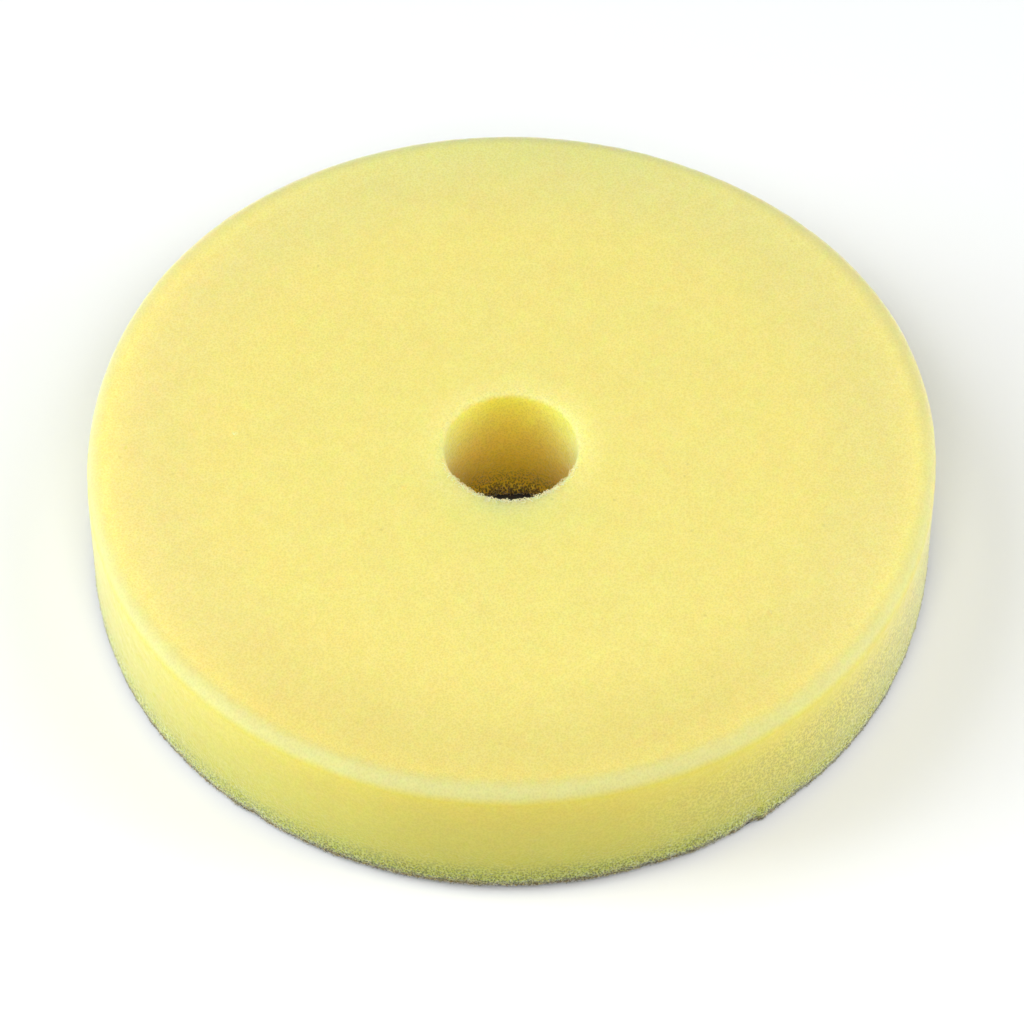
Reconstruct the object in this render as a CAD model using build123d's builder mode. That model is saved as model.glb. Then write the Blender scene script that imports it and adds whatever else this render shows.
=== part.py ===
from build123d import *

import os

# A foam polishing pad, in millimetres: an open-cell foam disc with a centre bore, and
# loop fabric laminated to its back, which closes the foot of the bore. The origin is the
# centre of the loop face, which grips the backing plate, and +Z points to the working face.

# Driving dimensions
pad_diameter = 160.0
pad_height = 30.0
bore_diameter = 25.0
fabric_diameter = 158.0  # the fabric is cut a little smaller than the foam

# Thickness of each layer of the laminate on the back of the foam
pile_thickness = 1.0
cloth_thickness = 0.4
film_thickness = 0.2

# Rounding of the foam at the working face
rim_radius = 3.0
lip_radius = 1.2

# Height of the underside of each layer above the loop face
cloth_base = pile_thickness
film_base = cloth_base + cloth_thickness
foam_base = film_base + film_thickness
foam_thickness = pad_height - foam_base


def make_adhesive_film():
    """The film has the outline of the fabric and lies only under the foam, not in the bore."""
    with BuildPart() as adhesive_film:
        with BuildSketch(Plane.XY.offset(film_base)):
            Circle(fabric_diameter / 2)
            Circle(bore_diameter / 2, mode=Mode.SUBTRACT)
        extrude(amount=film_thickness)
    return adhesive_film


def make_fabric_layer(base, thickness):
    """One layer of the loop fabric: a whole disc, with no hole."""
    with BuildPart() as fabric_layer:
        with BuildSketch(Plane.XY.offset(base)):
            Circle(fabric_diameter / 2)
        extrude(amount=thickness)
    return fabric_layer


def make_foam_disc():
    """The foam disc, with a rounded rim and a rounded mouth to its bore."""
    with BuildPart() as foam_disc:
        with BuildSketch(Plane.XY.offset(foam_base)):
            Circle(pad_diameter / 2)
            Circle(bore_diameter / 2, mode=Mode.SUBTRACT)
        extrude(amount=foam_thickness)
        working_face = foam_disc.faces().sort_by(Axis.Z)[-1]
        lip_edge, rim_edge = working_face.edges().sort_by(SortBy.RADIUS)
        fillet(rim_edge, radius=rim_radius)
        fillet(lip_edge, radius=lip_radius)
    return foam_disc


# The pieces, from the working face down to the loop face
pieces = {
    "foam_disc": make_foam_disc(),
    "adhesive_film": make_adhesive_film(),
    "backing_cloth": make_fabric_layer(cloth_base, cloth_thickness),
    "loop_pile": make_fabric_layer(0.0, pile_thickness),
}

os.makedirs("parts", exist_ok=True)
for name, piece in pieces.items():
    piece.part.label = name
    export_step(piece.part, f"parts/{name}.step")
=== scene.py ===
import math
from collections import namedtuple

import bpy
import numpy as np
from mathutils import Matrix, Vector, noise


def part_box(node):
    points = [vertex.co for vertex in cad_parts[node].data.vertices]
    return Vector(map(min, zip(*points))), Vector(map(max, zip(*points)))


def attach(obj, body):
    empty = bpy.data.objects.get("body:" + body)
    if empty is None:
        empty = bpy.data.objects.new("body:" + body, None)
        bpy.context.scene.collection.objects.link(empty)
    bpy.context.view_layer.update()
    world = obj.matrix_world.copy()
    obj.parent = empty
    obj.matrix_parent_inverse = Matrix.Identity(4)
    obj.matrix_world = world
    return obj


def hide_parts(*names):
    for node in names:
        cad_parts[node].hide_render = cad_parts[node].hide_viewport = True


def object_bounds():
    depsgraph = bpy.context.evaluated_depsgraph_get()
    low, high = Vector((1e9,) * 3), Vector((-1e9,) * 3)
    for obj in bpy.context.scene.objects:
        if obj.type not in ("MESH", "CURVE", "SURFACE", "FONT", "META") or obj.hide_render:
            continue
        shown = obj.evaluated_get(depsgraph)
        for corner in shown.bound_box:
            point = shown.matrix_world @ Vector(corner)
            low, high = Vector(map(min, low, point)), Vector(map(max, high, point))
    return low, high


# A foam polishing pad on a pale floor. Metres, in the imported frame: the origin is the
# centre of the loop face, and +Z points to the working face.

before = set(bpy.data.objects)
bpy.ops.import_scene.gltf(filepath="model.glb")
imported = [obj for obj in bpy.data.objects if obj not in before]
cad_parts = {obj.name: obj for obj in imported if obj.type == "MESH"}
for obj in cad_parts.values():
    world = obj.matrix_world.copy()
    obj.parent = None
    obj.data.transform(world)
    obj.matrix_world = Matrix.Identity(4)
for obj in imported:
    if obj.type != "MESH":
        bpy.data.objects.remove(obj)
cad_low, cad_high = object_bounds()
foam_low, foam_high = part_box("foam_disc")
cloth_low, cloth_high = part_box("backing_cloth")
pile_low, pile_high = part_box("loop_pile")

MM = 0.001
TURN = 2 * math.pi
ROW = math.sqrt(3) / 2  # height of a row of equilateral triangles of side 1

PAD_RADIUS = foam_high.x
PAD_TOP = foam_high.z
FOAM_BASE = foam_low.z
FABRIC_RADIUS = cloth_high.x
BORE_RADIUS = 12.5 * MM
RIM_RADIUS = 3.0 * MM
LIP_RADIUS = 1.2 * MM


# ---------------------------------------------------------------- camera

LENS = 182.8
SENSOR = 36.0
CAMERA_ELEVATION = math.radians(51.7)
CAMERA_DISTANCE = 0.989
CAMERA_AIM = Vector((0.0002, 0.0, 0.0100))


def make_camera():
    data = bpy.data.cameras.new("camera")
    data.lens = LENS
    data.sensor_width = SENSOR
    data.clip_end = 10.0
    camera = bpy.data.objects.new("camera", data)
    bpy.context.scene.collection.objects.link(camera)
    back = Vector((0.0, -math.cos(CAMERA_ELEVATION), math.sin(CAMERA_ELEVATION)))
    camera.location = CAMERA_AIM + back * CAMERA_DISTANCE
    camera.rotation_mode = "XYZ"
    camera.rotation_euler = (math.pi / 2 - CAMERA_ELEVATION, 0.0, 0.0)
    bpy.context.scene.camera = camera


# ---------------------------------------------------------------- mesh helpers

def ease(value, low, high):
    """0 below low, 1 above high, and smooth in between. low may be above high."""
    t = np.clip((value - low) / (high - low), 0, 1)
    return t * t * (3 - 2 * t)


def unit(vectors):
    return vectors / np.linalg.norm(vectors, axis=-1, keepdims=True)


def fractal(points, scale, seed):
    """Smooth noise from -1 to 1 at points, whose features are about scale wide."""
    offset = Vector((seed * 7.31, seed * 3.17, seed * 5.53))
    return np.array([noise.noise(Vector(p) / scale + offset) for p in points])


class Shape:
    """Points and faces that are gathered into one mesh object."""

    def __init__(self):
        self.points = []
        self.faces = []

    def add(self, points, faces):
        first = len(self.points)
        self.points += [tuple(p) for p in points]
        self.faces += [tuple(first + i for i in face) for face in faces]

    def make(self, name):
        mesh = bpy.data.meshes.new(name)
        mesh.from_pydata(self.points, [], self.faces)
        mesh.validate()
        mesh.update()
        mesh.shade_smooth()
        piece = bpy.data.objects.new(name, mesh)
        bpy.context.scene.collection.objects.link(piece)
        return piece


# A ring of points about Z: its radius and height, the outward direction of the section
# there, how many points it has and how far apart, and whether foam cells show open on it.
Ring = namedtuple("Ring", "r z out_r out_z count step open")


def ring_count(r, step):
    return max(24, round(TURN * r / step))


def zip_rings(first_a, count_a, shift_a, first_b, count_b, shift_b):
    """Triangles between two rings of points that go round the same way."""
    faces = []
    i = j = 0
    while i < count_a or j < count_b:
        next_a = (i + 1 + shift_a) / count_a
        next_b = (j + 1 + shift_b) / count_b
        a = first_a + i % count_a
        b = first_b + j % count_b
        if j >= count_b or (i < count_a and next_a <= next_b):
            faces.append((a, b, first_a + (i + 1) % count_a))
            i += 1
        else:
            faces.append((a, b, first_b + (j + 1) % count_b))
            j += 1
    return [face for face in faces if len(set(face)) == 3]


class Skin:
    """A surface of rings, whose points can be moved before it becomes a mesh."""

    def __init__(self, rings, closed):
        points, outward, along, step, open_rows, spans = [], [], [], [], [], []
        first = 0
        for index, ring in enumerate(rings):
            shift = 0.5 * (index % 2)
            angles = (np.arange(ring.count) + shift) * TURN / ring.count
            cos, sin, same = np.cos(angles), np.sin(angles), np.ones(ring.count)
            points.append(np.stack([ring.r * cos, ring.r * sin, ring.z * same], 1))
            outward.append(np.stack([ring.out_r * cos, ring.out_r * sin, ring.out_z * same], 1))
            along.append(np.stack([ring.out_z * cos, ring.out_z * sin, -ring.out_r * same], 1))
            step.append(ring.step * same)
            open_rows.append(ring.open & (same > 0))
            spans.append((first, ring.count, shift))
            first += ring.count
        self.points, self.outward, self.along = map(np.concatenate, (points, outward, along))
        self.step, self.open_rows = np.concatenate(step), np.concatenate(open_rows)
        self.faces = []
        for span, following in zip(spans, spans[1:] + spans[:1] if closed else spans[1:]):
            self.faces += zip_rings(*span, *following)

    def scattered(self, allowed, rng):
        """Random points, no two of which share an edge: where the foam's cells lie."""
        faces = np.array(self.faces)
        edges = np.concatenate([faces[:, (0, 1)], faces[:, (1, 2)], faces[:, (2, 0)]])
        edges = np.concatenate([edges, edges[:, ::-1]])
        chosen = np.zeros(len(self.points), bool)
        left = allowed.copy()
        for _ in range(4):
            rank = rng.uniform(size=len(left)) * left
            highest = np.zeros(len(left))
            np.maximum.at(highest, edges[:, 0], rank[edges[:, 1]])
            chosen |= left & (rank > highest)
            left &= ~chosen
            left[edges[chosen[edges[:, 0]], 1]] = False
        return chosen

    def jitter(self, share, which, rng):
        """Moves points about in the surface, by a share of their spacing."""
        around = np.cross(self.outward, self.along)
        move = rng.uniform(-share, share, (2, len(self.points))) * self.step * which
        self.points = self.points + around * move[0][:, None] + self.along * move[1][:, None]

    def raise_by(self, height):
        self.points = self.points + self.outward * height[:, None]


def arches(base, outward, along, span, height, thickness, steps=4):
    """Closed three-sided threads that leave a surface, arch over and go back in."""
    turn = np.linspace(0, math.pi, steps + 1)
    run = -np.cos(turn) * (1 + 0.4 * np.sin(turn)) / 2
    rise = np.sin(turn)
    path = base[:, None] + along[:, None] * (span[:, None] * run)[:, :, None]
    path = path + outward[:, None] * (height[:, None] * rise)[:, :, None]
    tangent = unit(np.gradient(path, axis=1))
    side = np.cross(outward, along)[:, None] * np.ones_like(path)
    up = np.cross(side, tangent)
    corner = np.arange(3) * TURN / 3
    ring = up[:, :, None] * np.cos(corner)[:, None] + side[:, :, None] * np.sin(corner)[:, None]
    points = path[:, :, None] + ring * (thickness / 2)[:, None, None, None]
    faces = []
    for first in range(0, len(base) * (steps + 1) * 3, (steps + 1) * 3):
        last = first + steps * 3
        for k in range(first, last, 3):
            faces += [(k + c, k + (c + 1) % 3, k + 3 + (c + 1) % 3, k + 3 + c) for c in range(3)]
        faces += [(first, first + 2, first + 1), (last, last + 1, last + 2)]
    return points.reshape(-1, 3), faces


def any_direction(outward, rng):
    """A random unit direction square to each outward one."""
    return unit(np.cross(outward, rng.normal(size=outward.shape)))


# ---------------------------------------------------------------- foam

# Spacing of the mesh on each part of the surface
FACE_STEP = 1.0 * MM
WALL_STEP = 0.80 * MM
LOW_WALL_STEP = 0.50 * MM
OPEN_STEP = 0.32 * MM
BORE_STEP = 0.42 * MM
RIM_STEP = 0.65 * MM
HIDDEN_STEP = 4.0 * MM
OPEN_BAND = 5.0 * MM  # height of the part of the wall whose cells show wide open
LOW_WALL = 9.0 * MM  # height of the part of the wall with a fine mesh
HEEL_TUCK = 0.35 * MM  # how far the wall turns in at its foot
FOOT_FLARE = 1.25 * MM  # how far the foam stands into the bore at its foot, and how unevenly
FOOT_RAG = 0.6 * MM
FOOT_SAG = 0.15 * MM
EDGE_RAG = 0.16 * MM  # how ragged the lower edge and the lip are
LIP_RAG = 0.18 * MM
GENTLE_RELIEF = ((0.06 * MM, 13 * MM, 1), (0.04 * MM, 3.2 * MM, 2))  # depth, width, seed
FINE_RELIEF = 0.03 * MM
# Depth of the open cells: away from the fabric, and what is added by it
WALL_CELLS = (0.06 * MM, 0.30 * MM)
BORE_CELLS = (0.10 * MM, 0.18 * MM)

# How far the cut is from round: lobes, their size and the direction of one of them.
LOBES = ((2, 0.21 * MM, 75), (3, 0.30 * MM, 19), (4, 0.22 * MM, 36), (6, 0.12 * MM, 24))
# Nicks and bumps along the lower edge: direction, half width in degrees and size.
EDGE_MARKS = (
    (-56.6, 0.9, -0.45 * MM), (-54.7, 0.7, 0.50 * MM), (-48.3, 1.6, -0.25 * MM),
    (-126.0, 1.2, -0.35 * MM), (-72.0, 1.0, -0.25 * MM), (-65.0, 2.2, 0.20 * MM),
    (38.0, 1.0, -0.40 * MM), (121.0, 1.4, 0.30 * MM),
)


def foam_rings():
    """The foam's closed section: up the bore, over the face, down the wall and underneath."""
    rings = []

    def run(start, end, out, step, open_cells=False, count=None):
        (r0, z0), (r1, z1) = start, end
        rows = max(1, round(math.hypot(r1 - r0, z1 - z0) / (step * ROW)))
        for k in range(rows):
            r = r0 + (r1 - r0) * k / rows
            z = z0 + (z1 - z0) * k / rows
            rings.append(Ring(r, z, *out, count or ring_count(r, step), step, open_cells))

    def bend(r, z, radius, start, end, step, open_cells, count):
        rows = max(3, round(radius * math.pi / 2 / (step * ROW)))
        for k in range(rows):
            turn = start + (end - start) * k / rows
            out_r, out_z = math.cos(turn), math.sin(turn)
            at = (r + radius * out_r, z + radius * out_z)
            rings.append(Ring(*at, out_r, out_z, count, step, open_cells))

    lip = BORE_RADIUS + LIP_RADIUS
    lip_z = PAD_TOP - LIP_RADIUS
    rim = PAD_RADIUS - RIM_RADIUS
    rim_z = PAD_TOP - RIM_RADIUS
    heel = (PAD_RADIUS, FOAM_BASE)
    tuck = (FABRIC_RADIUS, FOAM_BASE)
    bore_count = ring_count(BORE_RADIUS, BORE_STEP)
    run((BORE_RADIUS, FOAM_BASE), (BORE_RADIUS, lip_z), (-1.0, 0.0), BORE_STEP, True, bore_count)
    bend(lip, lip_z, LIP_RADIUS, math.pi, math.pi / 2, BORE_STEP, True, bore_count)
    run((lip, PAD_TOP), (rim, PAD_TOP), (0.0, 1.0), FACE_STEP)
    bend(rim, rim_z, RIM_RADIUS, math.pi / 2, 0.0, RIM_STEP, False, ring_count(PAD_RADIUS, RIM_STEP))
    low_wall = (PAD_RADIUS, FOAM_BASE + LOW_WALL)
    open_band = (PAD_RADIUS, FOAM_BASE + OPEN_BAND)
    run((PAD_RADIUS, rim_z), low_wall, (1.0, 0.0), WALL_STEP, True)
    run(low_wall, open_band, (1.0, 0.0), LOW_WALL_STEP, True)
    run(open_band, heel, (1.0, 0.0), OPEN_STEP, True)
    run(heel, tuck, (0.0, -1.0), OPEN_STEP, True, ring_count(PAD_RADIUS, OPEN_STEP))
    run(tuck, (BORE_RADIUS, FOAM_BASE), (0.0, -1.0), HIDDEN_STEP)
    return rings


def foam_skin():
    """The foam's surface, with its uneven cut, cell relief and ragged lower edge."""
    skin = Skin(foam_rings(), closed=True)
    rng = np.random.default_rng(11)
    radius = np.hypot(skin.points[:, 0], skin.points[:, 1])
    height = skin.points[:, 2].copy()
    heading = np.degrees(np.arctan2(skin.points[:, 1], skin.points[:, 0]))
    bonded = (skin.outward[:, 2] < -0.5) & (radius < FABRIC_RADIUS + 0.5 * OPEN_STEP)
    free = (~bonded).astype(float)

    out_of_round = sum(size * np.cos(np.radians(lobes * (heading - peak)))
                       for lobes, size, peak in LOBES)
    marks = sum(size * np.exp(-(((heading - at + 180) % 360 - 180) / wide) ** 2)
                for at, wide, size in EDGE_MARKS)
    marks = marks * ease(height, FOAM_BASE + 6 * MM, FOAM_BASE)
    rag = EDGE_RAG * fractal(skin.points, 2.2 * MM, 3) * ease(height, FOAM_BASE + 4 * MM, FOAM_BASE)
    tuck = -HEEL_TUCK * ease(height, FOAM_BASE + 2.5 * MM, FOAM_BASE)
    outer = ease(radius, 0.75 * PAD_RADIUS, PAD_RADIUS - RIM_RADIUS)
    wall = ease(radius, FABRIC_RADIUS - RIM_RADIUS, PAD_RADIUS)
    foot = (radius < BORE_RADIUS + 0.5 * BORE_STEP) * ease(height, FOAM_BASE + 2.8 * MM, FOAM_BASE)
    flare = -(FOOT_FLARE + FOOT_RAG * fractal(skin.points, 1.3 * MM, 6)) * foot
    spread = (out_of_round * outer + (marks + rag + tuck) * wall + flare) * free

    relief = sum(depth * fractal(skin.points, wide, seed) for depth, wide, seed in GENTLE_RELIEF)
    relief += rng.uniform(-FINE_RELIEF, FINE_RELIEF, len(radius))
    low = ease(height, FOAM_BASE + OPEN_BAND + 2 * MM, FOAM_BASE + 1.0 * MM)
    in_bore = radius < BORE_RADIUS + 2 * LIP_RADIUS
    cells = skin.scattered(skin.open_rows, rng)
    depth, added = (np.where(in_bore, *sizes) for sizes in zip(BORE_CELLS, WALL_CELLS))
    relief -= (depth + added * low) * rng.uniform(0.5, 1.4, len(radius)) * cells
    at_lip = in_bore * ease(height, PAD_TOP - 3 * MM, PAD_TOP)
    torn = 0.15 + 0.85 * ease(skin.points[:, 1] / np.maximum(radius, MM), -0.2, -0.8)
    lip_rag = LIP_RAG * fractal(skin.points, 0.9 * MM, 4) * at_lip * torn

    radial = skin.points * (1, 1, 0) / np.maximum(radius, MM)[:, None]
    skin.jitter(0.30, free, rng)
    skin.raise_by((relief + lip_rag) * free)
    skin.points = skin.points + radial * spread[:, None]
    skin.points[:, 2] -= FOOT_SAG * foot * free
    skin.cells = cells * rng.uniform(0.5, 1.0, len(radius))
    skin.bonded, skin.base_radius, skin.base_height = bonded, radius, height
    return skin


def make_foam(skin):
    shape = Shape()
    shape.add(skin.points, skin.faces)
    piece = shape.make("foam")
    cells = piece.data.attributes.new("open_cell", "FLOAT", "POINT")
    cells.data.foreach_set("value", skin.cells.astype(np.float32))
    return piece


# Share of the points that carry a strut on the lower edge, the lip and the foot of the bore
EDGE_STRUTS, LIP_STRUTS, FOOT_STRUTS = 0.28, 0.55, 0.7
STRUT_SPAN = (0.35, 0.75)  # these three in mm, for struts of size 1
STRUT_HEIGHT = (0.16, 0.38)
STRUT_THICKNESS = (0.08, 0.12)
LIP_STRUT_SIZE, STRUT_SIZE = 1.5, 0.8


def make_struts(skin):
    """Cut cell walls that stand out of the foam at its lower edge, its lip and the bore's foot."""
    rng = np.random.default_rng(23)
    radius, height = skin.base_radius, skin.base_height
    lower_edge = (radius > FABRIC_RADIUS) * ease(height, FOAM_BASE + 4.5 * MM, FOAM_BASE)
    lip = (radius < BORE_RADIUS + 1.4 * LIP_RADIUS) * ease(skin.points[:, 1] / radius, -0.2, -0.8)
    lip = lip * ease(height, PAD_TOP - 2.0 * MM, PAD_TOP - 0.4 * MM)
    foot = (radius < BORE_RADIUS + LIP_RADIUS) * ease(height, FOAM_BASE + 4 * MM, FOAM_BASE)
    chance = lower_edge * EDGE_STRUTS + lip * LIP_STRUTS + foot * FOOT_STRUTS
    chance = chance * ~skin.bonded * (skin.cells == 0)
    chosen = np.flatnonzero(rng.uniform(size=len(radius)) < chance)
    count = len(chosen)
    outward = unit(skin.outward[chosen] + rng.normal(0, 0.25, (count, 3)))
    sunk = skin.points[chosen] - outward * 0.08 * MM
    by_lip = (radius < PAD_RADIUS / 2) & (height > PAD_TOP / 2)
    size = np.where(by_lip, LIP_STRUT_SIZE, STRUT_SIZE)[chosen] * MM
    along = any_direction(outward, rng)
    span, rise, thickness = (rng.uniform(*limits, count) * size
                             for limits in (STRUT_SPAN, STRUT_HEIGHT, STRUT_THICKNESS))
    shape = Shape()
    shape.add(*arches(sunk, outward, along, span, rise, thickness))
    return shape.make("foam_struts")


# ---------------------------------------------------------------- fabric

def disc_rings(radius, bottom, top, fine_radius, fine, coarse):
    """A closed round plate: its top from the middle out, its edge, and its underside back in."""
    rings = [Ring(0.0, top, 0.0, 1.0, 1, fine, False)]
    r = 0.0
    outward_radii = []
    while r < radius:
        step = fine if r < fine_radius else min(coarse, max(fine, radius - r))
        r = min(radius, r + step * ROW)
        outward_radii.append((r, step))
    for r, step in outward_radii:
        rings.append(Ring(r, top, 0.0, 1.0, ring_count(r, step), step, False))
    middle = (bottom + top) / 2
    rings.append(Ring(radius, middle, 1.0, 0.0, ring_count(radius, coarse), coarse, False))
    for r, step in reversed(outward_radii):
        rings.append(Ring(r, bottom, 0.0, -1.0, ring_count(r, max(step, coarse)), coarse, False))
    rings.append(Ring(0.0, bottom, 0.0, -1.0, 1, fine, False))
    return rings


RIB_WIDTH = 0.9 * MM
STITCH_LENGTH = 1.2 * MM
RIB_DEPTH = 0.04 * MM
SEEN_STEP = 0.32 * MM  # spacing of the cloth's mesh in the bore, and outside it
UNSEEN_STEP = 1.4 * MM


def make_backing_cloth():
    """A thin knitted cloth, whose ribs show on the floor of the bore."""
    rings = disc_rings(FABRIC_RADIUS, cloth_low.z, cloth_high.z, BORE_RADIUS, SEEN_STEP, UNSEEN_STEP)
    skin = Skin(rings, closed=False)
    x, y, _ = skin.points.T
    sway = 2 * np.sin(TURN * x / (2 * RIB_WIDTH))
    ribs = np.sin(TURN * x / RIB_WIDTH) * np.sin(TURN * y / STITCH_LENGTH + sway)
    inside = ease(np.hypot(x, y), FABRIC_RADIUS, FABRIC_RADIUS - 1.0 * MM)
    skin.raise_by(-RIB_DEPTH * (1 + ribs) * inside)
    shape = Shape()
    shape.add(skin.points, skin.faces)
    return shape.make("cloth")


FELT_THICKNESS = 0.45 * MM
FELT_STEP = 2.2 * MM
FELT_RELIEF = 0.14 * MM
LOOP_STEP = 1.9 * MM
EDGE_LOOPS = 420
LOOP_LEAN = 0.25  # spread of the loops' directions
LOOP_SPAN = (0.7, 1.3)  # in mm
LOOP_REACH = (0.75, 1.0)  # share of the way down
LOOP_THICKNESS = (0.09, 0.13)  # in mm


def make_loop_pile():
    """Brushed loops that hang from a thin felted layer, down to what the pad stands on."""
    rng = np.random.default_rng(37)
    felt_base = pile_high.z - FELT_THICKNESS
    felt_radius = FABRIC_RADIUS - 0.3 * MM
    rings = disc_rings(felt_radius, felt_base, pile_high.z, 0.0, FELT_STEP, FELT_STEP)
    skin = Skin(rings, closed=False)
    under = (skin.outward[:, 2] < 0).astype(float)
    skin.raise_by(FELT_RELIEF * fractal(skin.points, 2.5 * MM, 5) * under)
    shape = Shape()
    shape.add(skin.points, skin.faces)

    half = int(FABRIC_RADIUS / (LOOP_STEP * ROW)) + 1
    column, row = np.meshgrid(np.arange(-half, half + 1), np.arange(-half, half + 1))
    places = np.stack([(column + 0.5 * (row % 2)) * LOOP_STEP, row * LOOP_STEP * ROW], -1)
    places = places.reshape(-1, 2)
    places += rng.uniform(-0.35, 0.35, places.shape) * LOOP_STEP
    places = places[np.hypot(*places.T) < FABRIC_RADIUS - 1.2 * MM]
    turn = np.arange(EDGE_LOOPS) * TURN / EDGE_LOOPS
    edge_radius = FABRIC_RADIUS - rng.uniform(0.5, 1.1, EDGE_LOOPS) * MM
    edge = edge_radius[:, None] * np.stack([np.cos(turn), np.sin(turn)], 1)
    places = np.concatenate([places, edge])
    count = len(places)
    root = np.column_stack([places, np.full(count, felt_base + 0.1 * MM)])
    lean = rng.normal(0, LOOP_LEAN, (count, 3)) * (1, 1, 0)
    down = unit(lean - (0, 0, 1))
    to_floor = (root[:, 2] - 0.06 * MM) / -down[:, 2]
    along = any_direction(down, rng)
    span = rng.uniform(*LOOP_SPAN, count) * MM
    reach = to_floor * rng.uniform(*LOOP_REACH, count)
    thickness = rng.uniform(*LOOP_THICKNESS, count) * MM
    points, faces = arches(root, down, along, span, reach, thickness)
    points[:, 2] = np.maximum(points[:, 2], pile_low.z)
    shape.add(points, faces)
    return shape.make("loops")


# ---------------------------------------------------------------- materials

class Nodes:
    """Short calls for building a material's node tree."""

    def __init__(self, name):
        self.material = bpy.data.materials.new(name)
        self.material.use_nodes = True
        self.tree = self.material.node_tree
        self.shader = self.tree.nodes["Principled BSDF"]
        self.place = self.new("ShaderNodeTexCoord").outputs["Object"]

    def new(self, kind, **settings):
        node = self.tree.nodes.new(kind)
        for name, value in settings.items():
            setattr(node, name, value)
        return node

    def put(self, value, socket):
        if isinstance(value, bpy.types.NodeSocket):
            self.tree.links.new(value, socket)
        else:
            socket.default_value = value

    def set(self, **values):
        """Sets the shader's own sockets, which are named with underscores for spaces."""
        for name, value in values.items():
            self.put(value, self.shader.inputs[name.replace("_", " ")])

    def math(self, operation, *values):
        node = self.new("ShaderNodeMath", operation=operation)
        for value, socket in zip(values, node.inputs):
            self.put(value, socket)
        return node.outputs[0]

    def times(self, product, *factors):
        for factor in factors:
            product = self.math("MULTIPLY", product, factor)
        return product

    def noise(self, size, detail=2.0):
        node = self.new("ShaderNodeTexNoise")
        self.put(self.place, node.inputs["Vector"])
        node.inputs["Scale"].default_value = 1 / size
        node.inputs["Detail"].default_value = detail
        return node.outputs["Fac"]

    def cells(self, size, stretch=1.0):
        """Distance to the nearest of scattered points, in shares of size, which is larger along Z."""
        squeezed = self.new("ShaderNodeVectorMath", operation="MULTIPLY")
        self.put(self.place, squeezed.inputs[0])
        squeezed.inputs[1].default_value = (1, 1, 1 / stretch)
        node = self.new("ShaderNodeTexVoronoi")
        self.put(squeezed.outputs[0], node.inputs["Vector"])
        node.inputs["Scale"].default_value = 1 / size
        return node.outputs["Distance"]

    def ramp(self, value, low, high, out_low=0.0, out_high=1.0):
        """value from low to high, eased to out_low to out_high."""
        node = self.new("ShaderNodeMapRange", interpolation_type="SMOOTHSTEP")
        for v, name in ((value, "Value"), (low, "From Min"), (high, "From Max"),
                        (out_low, "To Min"), (out_high, "To Max")):
            self.put(v, node.inputs[name])
        return node.outputs["Result"]

    def mix(self, factor, a, b, blend="MIX"):
        node = self.new("ShaderNodeMix", data_type="RGBA", blend_type=blend)
        for value, socket in ((factor, node.inputs[0]), (a, node.inputs[6]), (b, node.inputs[7])):
            self.put(value if isinstance(value, bpy.types.NodeSocket) or socket == node.inputs[0]
                     else (*value, 1.0), socket)
        return node.outputs[2]

    def bump(self, height, distance, strength):
        node = self.new("ShaderNodeBump")
        self.put(height, node.inputs["Height"])
        node.inputs["Distance"].default_value = distance
        self.put(strength, node.inputs["Strength"])
        return node.outputs["Normal"]

    def around(self):
        """Radius, height, and how far the way from the middle points to the right and the back."""
        split = self.new("ShaderNodeSeparateXYZ")
        self.put(self.place, split.inputs[0])
        x, y, height = split.outputs
        squares = self.math("ADD", self.math("POWER", x, 2.0), self.math("POWER", y, 2.0))
        radius = self.math("SQRT", squares)
        return radius, height, self.math("DIVIDE", x, radius), self.math("DIVIDE", y, radius)


# Colours of the foam, as linear red, green and blue
FACE_TONE = (0.86, 0.74, 0.228)
# Painted light and shade on the working face: paler towards the rim, and darker at the front, where
# less light falls
PALE_TONE = (0.735, 0.705, 0.275)  # the outer part of the working face
NEAR_TONE = (0.70, 0.64, 0.195)  # the same at the front
# Painted light: a warmer, brighter ring round the mouth of the bore
LIP_TONE = (0.93, 0.76, 0.27)  # the face round the mouth of the bore
# Painted highlight on the rounded rim
RIM_HIGHLIGHT_TONE = (0.56, 0.56, 0.245)  # the rounded rim
# Painted shade: the wall is darker than the face, and darker still towards its foot
WALL_TONE = (0.59, 0.54, 0.045)
LOW_WALL_TONE = (0.54, 0.47, 0.032)
# Painted light in the bore: bright at its mouth, and a deeper orange towards its foot, for light
# bounced inside it
BORE_TONE = (0.99, 0.89, 0.15)
DEEP_BORE_TONE = (1.0, 0.60, 0.013)
FOOT_DARK_TONE = (0.16, 0.13, 0.04)
GLINT_TONE = (0.95, 0.93, 0.45)  # cut edges that catch the light
# Painted highlight on the struts
STRUT_TONE = (0.95, 0.92, 0.60)
SPECK_TONE = (0.45, 0.36, 0.08)
PORE_TONE = (0.02, 0.014, 0.005)

# The body colour is multiplied by these in patches and in fine grain
MOTTLE_TINT = (0.98, 0.975, 0.95)
GRAIN_TINT = (0.97, 0.95, 0.76)
MOTTLE_SIZE = 3.5 * MM
GRAIN_SIZE = 0.45 * MM

CELL_SIZE = 0.40 * MM
CELL_STRETCH = 1.35  # a cell's height over its width
SCATTER_RADIUS = (34.0, 14.0, 2.5)  # how far red, green and blue light spreads in the foam, in mm


def smooth_cut(n):
    """1, and less on the rim and the upper wall, where the cut is smoother and shows less grain."""
    radius, height, _, _ = n.around()
    rim = n.ramp(radius, PAD_RADIUS - 4.0 * MM, PAD_RADIUS - 1.0 * MM, 0.0, 0.7)
    upper = n.ramp(height, FOAM_BASE + 7.0 * MM, FOAM_BASE + 14.0 * MM)
    return n.math("SUBTRACT", 1.0, n.times(rim, upper))


def beyond_bore(n, radius, share):
    """share in the bore, and up to 1 farther out."""
    return n.ramp(radius, BORE_RADIUS + 1.0 * MM, PAD_RADIUS / 2, share, 1.0)


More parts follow.
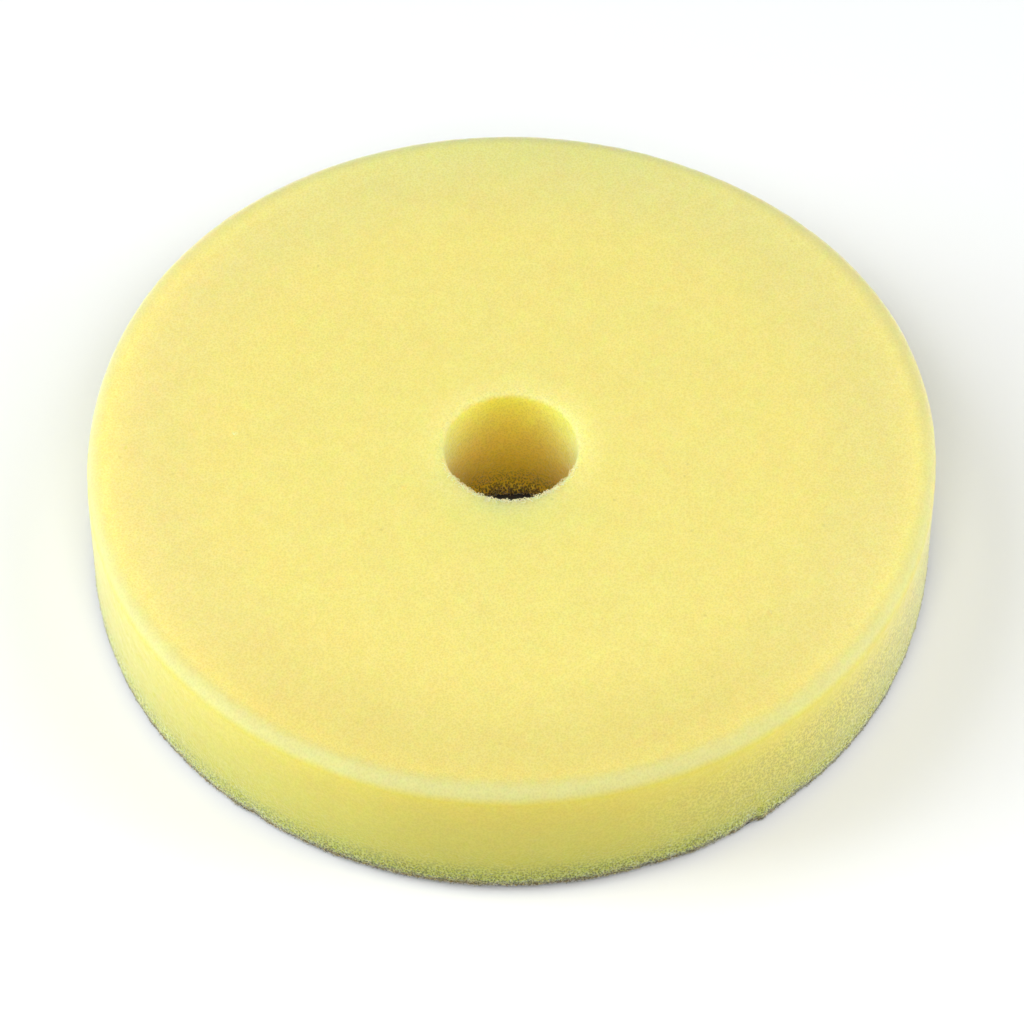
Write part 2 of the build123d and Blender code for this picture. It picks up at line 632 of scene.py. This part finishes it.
def foam_tone(n):
    """The foam's colour, with painted light and shade in it: painted light and shade across the face,
    painted shade on the wall, painted bounce light that deepens it in the bore, and a painted
    highlight that pales the rim.
    """
    radius, height, _, to_back = n.around()
    on_face = n.ramp(height, PAD_TOP - 1.6 * MM, PAD_TOP - 0.3 * MM)
    on_top = n.ramp(height, PAD_TOP - 3.0 * MM, PAD_TOP - 1.0 * MM)
    low_wall = n.ramp(height, FOAM_BASE, PAD_TOP - 3.0 * MM, 1.0, 0.0)
    in_bore = n.ramp(radius, BORE_RADIUS + 1.0 * MM, BORE_RADIUS + 4.0 * MM, 1.0, 0.0)
    bore_depth = n.ramp(height, FOAM_BASE + 2.0 * MM, PAD_TOP - 4.0 * MM, 1.0, 0.0)
    # Painted light and shade: the face pales towards the rim and is darker at the front
    pale = n.ramp(radius, PAD_RADIUS - 30.0 * MM, PAD_RADIUS - 2.5 * MM, 0.0, 0.9)
    near = n.ramp(to_back, -0.45, -0.95)
    # Painted highlight on the rounded rim
    rim_highlight = n.ramp(radius, PAD_RADIUS - 4.5 * MM, PAD_RADIUS - 1.2 * MM)
    # Painted light round the mouth of the bore
    by_lip = n.ramp(radius, BORE_RADIUS + 7.0 * MM, BORE_RADIUS + 0.8 * MM)
    # Painted glints on the torn cells at the front of the lip
    torn = n.times(n.ramp(radius, BORE_RADIUS + 1.5 * MM, BORE_RADIUS + 0.5 * MM),
                   n.ramp(height, PAD_TOP - 1.2 * MM, PAD_TOP - 0.3 * MM),
                   n.ramp(to_back, -0.2, -0.8),
                   n.ramp(n.noise(0.4 * MM), 0.50, 0.58))
    # Painted shade on the wall, darker towards its foot
    wall = n.mix(low_wall, WALL_TONE, LOW_WALL_TONE)
    # Painted bounce light in the bore, deeper towards its foot
    bore = n.mix(bore_depth, BORE_TONE, DEEP_BORE_TONE)
    face = n.mix(pale, n.mix(by_lip, FACE_TONE, LIP_TONE), n.mix(near, PALE_TONE, NEAR_TONE))
    body = n.mix(on_face, n.mix(in_bore, wall, bore), face)
    # Painted highlight on the rim
    body = n.mix(n.times(rim_highlight, on_top), body, RIM_HIGHLIGHT_TONE)
    mottled = n.mix(1.0, body, MOTTLE_TINT, "MULTIPLY")
    body = n.mix(n.ramp(n.noise(MOTTLE_SIZE, detail=3.0), 0.3, 0.7), body, mottled)
    grained = n.mix(1.0, body, GRAIN_TINT, "MULTIPLY")
    grain = n.times(n.ramp(n.noise(GRAIN_SIZE), 0.3, 0.7), smooth_cut(n))
    body = n.mix(grain, body, grained)
    # Painted glints on the torn lip
    return n.mix(n.times(torn, 0.85), body, GLINT_TONE)


def foam_material():
    """Yellow open-cell foam. Its open cells are painted dark, as shade in the cells and as the dark
    fabric that lies behind them.
    """
    n = Nodes("cut_foam")
    body = foam_tone(n)
    radius, height, to_right, _ = n.around()
    # Darker towards the foot of the wall, by the dark cloth, and half as much in the bore
    darker_foot = n.times(n.ramp(height, FOAM_BASE, FOAM_BASE + 2.0 * MM, 0.9, 0.0),
                    n.ramp(n.noise(0.7 * MM), 0.25, 0.6, 0.4, 1.0),
                    beyond_bore(n, radius, 0.5))
    body = n.mix(darker_foot, body, FOOT_DARK_TONE)

    # How open the cells look: most by the fabric, less in the bore and on the right of the wall
    near_fabric = n.math("ADD", n.ramp(height, FOAM_BASE, FOAM_BASE + 9.5 * MM, 0.75, 0.0),
                         n.ramp(height, FOAM_BASE, FOAM_BASE + 3.0 * MM, 0.25, 0.0))
    near_fabric = n.times(near_fabric, beyond_bore(n, radius, 0.9))
    in_bore = n.ramp(radius, BORE_RADIUS + 1.0 * MM, BORE_RADIUS + 2.0 * MM, 0.12, 0.07)
    right_wall = n.times(n.ramp(to_right, 0.0, 0.9, 0.0, 0.40),
                         n.ramp(radius, PAD_RADIUS - 2.0 * MM, PAD_RADIUS - 1.0 * MM),
                         n.ramp(height, PAD_TOP, PAD_TOP - 12.0 * MM))
    openness = n.math("MAXIMUM", near_fabric, n.math("MAXIMUM", right_wall, in_bore))

    # Dark pores, which widen at the foot of the wall, painted as shade in the open cells, and painted
    # glints on the pale edges between them
    distance = n.cells(CELL_SIZE, CELL_STRETCH)
    wider = n.ramp(height, FOAM_BASE, FOAM_BASE + 3.0 * MM, 0.26, 0.0)
    pore = n.ramp(n.math("SUBTRACT", distance, wider), 0.34, 0.52, 1.0, 0.0)
    open_cell = n.new("ShaderNodeAttribute", attribute_name="open_cell").outputs["Fac"]
    deep_cell = n.ramp(n.times(open_cell, n.noise(0.5 * MM)), 0.12, 0.4, 0.0, 0.9)
    hole = n.times(n.math("MAXIMUM", pore, deep_cell), openness)
    glint = n.times(n.ramp(distance, 0.55, 0.85, 0.0, 0.42), openness,
                    beyond_bore(n, radius, 0.15),
                    n.ramp(height, FOAM_BASE + 0.4 * MM, FOAM_BASE + 2.5 * MM, 0.25, 1.0))
    colour = n.mix(hole, n.mix(glint, body, GLINT_TONE), PORE_TONE)
    speckled = n.times(n.ramp(n.cells(4.5 * MM), 0.04, 0.10, 1.0, 0.0),
                       n.ramp(n.noise(9.0 * MM), 0.5, 0.56, 0.0, 0.25))
    colour = n.mix(speckled, colour, SPECK_TONE)

    # Less light spreads inside the foam at the foot of the bore, by the dark cloth
    bore_foot = n.times(n.ramp(radius, BORE_RADIUS + 2.0 * MM, BORE_RADIUS + 1.0 * MM),
                        n.ramp(height, FOAM_BASE + 9.0 * MM, FOAM_BASE + 1.0 * MM, 0.0, 0.5))
    n.set(Base_Color=colour, Roughness=0.7, Specular_IOR_Level=0.7,
          Sheen_Weight=0.55, Sheen_Roughness=0.4,
          Subsurface_Weight=n.math("SUBTRACT", 1.0, bore_foot),
          Subsurface_Radius=SCATTER_RADIUS, Subsurface_Scale=1.0 * MM,
          Normal=n.bump(distance, 0.12 * MM, n.times(smooth_cut(n), 0.6)))
    return n.material


def strut_material():
    """The same foam on the thin cut struts, which are pale with a painted highlight, except deep in
    the bore, and let no pores show.
    """
    n = Nodes("cut_foam_struts")
    radius, height, _, _ = n.around()
    # Painted highlight: the struts pale, but not deep in the bore, where they are in shade
    shallow = n.math("MAXIMUM", beyond_bore(n, radius, 0.0),
                     n.ramp(height, PAD_TOP - 8.0 * MM, PAD_TOP - 3.0 * MM))
    pale = n.times(n.ramp(n.noise(0.6 * MM), 0.35, 0.65, 0.2, 0.9), shallow)
    pale = n.mix(pale, foam_tone(n), STRUT_TONE)
    # Darker towards the foot, by the dark cloth
    darker_foot = n.times(n.ramp(height, FOAM_BASE, FOAM_BASE + 3.5 * MM, 0.85, 0.0),
                    beyond_bore(n, radius, 0.5))
    n.set(Base_Color=n.mix(darker_foot, pale, FOOT_DARK_TONE), Roughness=0.6, Specular_IOR_Level=0.7,
          Sheen_Weight=0.35, Sheen_Roughness=0.5,
          Normal=n.bump(n.noise(0.1 * MM), 0.02 * MM, 0.5))
    return n.material


MILKY_TONES = (0.62, 0.58, 0.42), (0.80, 0.76, 0.60)
BARE_TONES = (0.03, 0.025, 0.015), (0.09, 0.07, 0.03)
CLOTH_TONES = (0.008, 0.008, 0.009), (0.035, 0.035, 0.037)
LOOP_TONES = (0.010, 0.010, 0.011), (0.045, 0.045, 0.048)


def film_material():
    """Milky hot-melt film between the foam and the cloth, dark where its edges are bare."""
    n = Nodes("hot_melt_film")
    flow = n.noise(2.5 * MM, detail=4.0)
    radius = n.around()[0]
    bare = n.math("MAXIMUM", n.ramp(radius, BORE_RADIUS + 1.2 * MM, BORE_RADIUS + 0.4 * MM),
                  n.ramp(radius, FABRIC_RADIUS - 1.2 * MM, FABRIC_RADIUS - 0.4 * MM))
    n.set(Base_Color=n.mix(bare, n.mix(flow, *MILKY_TONES), n.mix(flow, *BARE_TONES)),
          Roughness=n.ramp(flow, 0.3, 0.7, 0.35, 0.6), Normal=n.bump(flow, 0.05 * MM, 0.4))
    return n.material


def yarn_material(name, tones, size):
    """Dyed yarn: streaky along the fibre, with a soft sheen."""
    n = Nodes(name)
    dark, light = tones
    fibre = n.noise(size, detail=4.0)
    tone = n.mix(n.ramp(n.noise(6 * size), 0.3, 0.7, 0.0, 0.5), n.mix(fibre, dark, light), dark)
    n.set(Base_Color=tone, Roughness=0.85, Sheen_Weight=0.3, Sheen_Roughness=0.4,
          Normal=n.bump(fibre, 0.08 * MM, 0.6))
    return n.material


# ---------------------------------------------------------------- floor and light

LIGHT_DISTANCE = 1.4
WORLD_GLOW = 0.01
SWEEP_RADIUS = 2.4
SWEEP_BEND = 0.25
SWEEP_HEIGHT = 0.3
SWEEP_COUNT = 96  # points round each ring of the floor
GLOW_START, GLOW_END, GLOW = 0.4, 1.4, 0.75  # the floor's own light, by distance from the pad
FLOOR_TONES = (0.89, 0.885, 0.87), (0.92, 0.915, 0.90)


def make_floor():
    """A round floor that bends up into a low pale wall, which glows so that it stays pale far out."""
    section = [(r, 0.0) for r in (0.3, 1.0, SWEEP_RADIUS)]
    for turn in np.radians(np.arange(10, 91, 10)):
        r, z = SWEEP_RADIUS + SWEEP_BEND * math.sin(turn), SWEEP_BEND * (1 - math.cos(turn))
        section.append((r, z))
    section.append((SWEEP_RADIUS + SWEEP_BEND, SWEEP_HEIGHT))
    rings = [Ring(r, cad_low.z + z, 0.0, 1.0, SWEEP_COUNT, r, False) for r, z in section]
    skin = Skin([Ring(0.0, cad_low.z, 0.0, 1.0, 1, SWEEP_RADIUS, False)] + rings, closed=False)
    shape = Shape()
    shape.add(skin.points, [face[::-1] for face in skin.faces])
    floor = shape.make("floor")
    n = Nodes("pale_floor")
    tone = n.mix(n.noise(0.2), *FLOOR_TONES)
    n.set(Base_Color=tone, Roughness=0.9, Emission_Color=tone,
          Emission_Strength=n.ramp(n.around()[0], GLOW_START, GLOW_END, 0.0, GLOW))
    floor.data.materials.append(n.material)


WHITE = (1.0, 1.0, 1.0)


def softbox(name, azimuth, elevation, size, power, colour):
    """A square softbox that faces the pad. Azimuth 0 is the camera's side, 90 the right."""
    data = bpy.data.lights.new(name, "AREA")
    data.shape = "SQUARE"
    data.size = size
    data.energy = power
    data.color = colour
    lamp = bpy.data.objects.new(name, data)
    a, e = math.radians(azimuth), math.radians(elevation)
    back = Vector((math.sin(a) * math.cos(e), -math.cos(a) * math.cos(e), math.sin(e)))
    lamp.location = back * LIGHT_DISTANCE
    lamp.rotation_euler = (-back).to_track_quat("-Z", "Y").to_euler()
    lamp.visible_camera = False
    bpy.context.scene.collection.objects.link(lamp)


# Name, azimuth and elevation in degrees, size in metres, power in watts, colour
LIGHTS = (
    ("front", 0, 54, 0.7, 9.2, WHITE),
    ("back", 180, 60, 0.8, 0.5, (0.6, 0.8, 1.0)),
    ("left_high", -90, 50, 0.8, 9.0, (0.96, 0.985, 1.0)),
    ("right_high", 90, 50, 0.8, 5.6, WHITE),
    ("left_low", -88, 18, 0.8, 12.2, (0.86, 0.95, 1.0)),
    ("right_low", 88, 18, 0.8, 8.6, (0.92, 0.98, 1.0)),
)


def make_light():
    for lamp in LIGHTS:
        softbox(*lamp)
    world = bpy.data.worlds.new("studio")
    world.use_nodes = True
    background = world.node_tree.nodes["Background"]
    background.inputs["Color"].default_value = (1, 1, 1, 1)
    background.inputs["Strength"].default_value = WORLD_GLOW
    bpy.context.scene.world = world
    bpy.context.scene.view_settings.view_transform = "Standard"


# ---------------------------------------------------------------- assembly

def place(piece, node, material):
    """Gives a piece its finish and its place in the frame."""
    piece.data.materials.append(material)
    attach(piece, "root")
    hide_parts(node)


make_camera()
skin = foam_skin()
foam = make_foam(skin)
place(foam, "foam_disc", foam_material())
place(make_struts(skin), "foam_disc", strut_material())

cloth = make_backing_cloth()
place(cloth, "backing_cloth",
      yarn_material("knit_backing", CLOTH_TONES, 0.25 * MM))
loops = make_loop_pile()
place(loops, "loop_pile",
      yarn_material("brushed_loops", LOOP_TONES, 0.2 * MM))

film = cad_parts["adhesive_film"]
film.data.materials.clear()
film.data.materials.append(film_material())
make_floor()
make_light()
